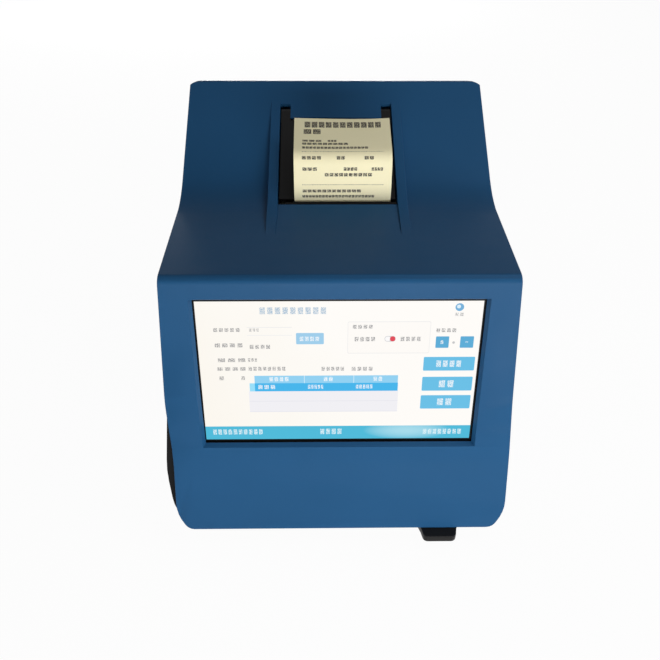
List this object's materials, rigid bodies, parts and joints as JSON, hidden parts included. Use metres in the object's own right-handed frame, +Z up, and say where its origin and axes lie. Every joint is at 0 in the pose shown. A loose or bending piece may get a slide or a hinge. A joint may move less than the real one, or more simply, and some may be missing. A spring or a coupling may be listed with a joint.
{
  "type": "progesterone analyzer",
  "caption": "Benchtop analyser with a leaning touch screen, a receipt printer set into its rising back slope and a sliding test card tray under the face.",
  "frame": {"origin": "centre of the bounding box's base, on the table that the feet stand on", "axes": "+Z up, the screen looks towards -Y, +X to the viewer's right"},
  "size_m": [0.2068, 0.206, 0.2282],
  "materials": {
    "blue_plastic": "fine-textured satin moulding",
    "black_plastic": "satin moulding",
    "dark_plastic": "satin moulding",
    "grey_plastic": "plain moulding",
    "black_rubber": "matt",
    "steel": "plated",
    "brass": "machined",
    "screen_glass": "hard coated, lit from behind",
    "circuit_board": "green solder mask",
    "thermal_paper": "smooth coated",
    "cardboard": "wound tube",
    "lens_glass": "polished"
  },
  "bodies": {
    "housing": {"upper_shell": "blue_plastic", "base_shell": "black_plastic", "printer_frame": "black_plastic", "gear_cover": "black_plastic", "fan_frame": "black_plastic", "switch_housing": "black_plastic", "tray_rail_left": "dark_plastic", "tray_rail_right": "dark_plastic", "optics_head": "dark_plastic", "rear_panel": "dark_plastic", "power_socket": "dark_plastic", "serial_socket": "dark_plastic", "foot_1": "black_rubber", "foot_2": "black_rubber", "foot_3": "black_rubber", "foot_4": "black_rubber", "display_gasket": "black_rubber", "case_screw_left": "steel", "case_screw_right": "steel", "screen_module": "steel", "display_bracket": "steel", "display_screw_1": "steel", "display_screw_2": "steel", "display_screw_3": "steel", "display_screw_4": "steel", "feed_motor": "steel", "thermal_head": "steel", "head_spring_left": "steel", "head_spring_right": "steel", "tear_bar": "steel", "tray_motor": "steel", "motor_bracket": "steel", "optics_bridge": "steel", "heat_sink": "steel", "rear_screw_1": "steel", "rear_screw_2": "steel", "rear_screw_3": "steel", "rear_screw_4": "steel", "usb_socket": "steel", "network_socket": "steel", "touch_panel": "screen_glass", "display_board": "circuit_board", "control_board": "circuit_board", "optics_lens": "lens_glass"},
    "lid": {"printer_lid": "black_plastic", "hinge_pin": "steel", "paper_strip": "thermal_paper"},
    "platen": {"platen_roller": "black_rubber", "platen_shaft": "steel", "platen_gear": "grey_plastic"},
    "idler": {"idler_gear": "grey_plastic"},
    "feed_pinion": {"motor_pinion": "brass"},
    "roll": {"paper_roll": "thermal_paper", "roll_core": "cardboard"},
    "tray": {"card_tray": "black_plastic"},
    "tray_drive": {"tray_pinion": "brass"},
    "rocker": {"power_rocker": "dark_plastic"},
    "fan": {"fan_rotor": "black_plastic"}
  },
  "joints": [
    {"name": "lid_hinge", "type": "hinge", "parent": "housing", "child": "lid", "pos_m": [0, 0.07798, 0.21103], "axis": [-1, 0, 0], "range_deg": [0, 90]},
    {"name": "platen_spin", "type": "hinge", "parent": "lid", "child": "platen", "pos_m": [0, 0.0201, 0.17726], "axis": [1, 0, 0], "continuous": true},
    {"name": "idler_spin", "type": "hinge", "parent": "housing", "child": "idler", "pos_m": [0, 0.02518, 0.16622], "axis": [1, 0, 0], "continuous": true},
    {"name": "feed_pinion_spin", "type": "hinge", "parent": "housing", "child": "feed_pinion", "pos_m": [0, 0.03039, 0.1587], "axis": [1, 0, 0], "continuous": true},
    {"name": "roll_spin", "type": "hinge", "parent": "housing", "child": "roll", "pos_m": [0, 0.05192, 0.17815], "axis": [1, 0, 0], "continuous": true},
    {"name": "tray_slide", "type": "slide", "parent": "housing", "child": "tray", "axis": [0, -1, 0], "range_m": [0, 0.0754]},
    {"name": "tray_pinion_spin", "type": "hinge", "parent": "housing", "child": "tray_drive", "pos_m": [0.04537, -0.04944, 0.0075], "axis": [0, 0, -1], "range_deg": [0, 901]},
    {"name": "rocker_tilt", "type": "hinge", "parent": "housing", "child": "rocker", "pos_m": [0.03, 0.0965, 0.108], "axis": [1, 0, 0], "range_deg": [-16, 0]},
    {"name": "fan_spin", "type": "hinge", "parent": "housing", "child": "fan", "pos_m": [-0.03, 0.0947, 0.108], "axis": [0, 1, 0], "continuous": true}
  ],
  "couplings": [
    {"joint": "idler_spin", "follows": "platen_spin", "ratio": -1},
    {"joint": "feed_pinion_spin", "follows": "platen_spin", "ratio": 2},
    {"joint": "roll_spin", "follows": "platen_spin", "ratio": 0.23889},
    {"joint": "tray_pinion_spin", "follows": "tray_slide", "rad_per_m": 208.33}
  ]
}
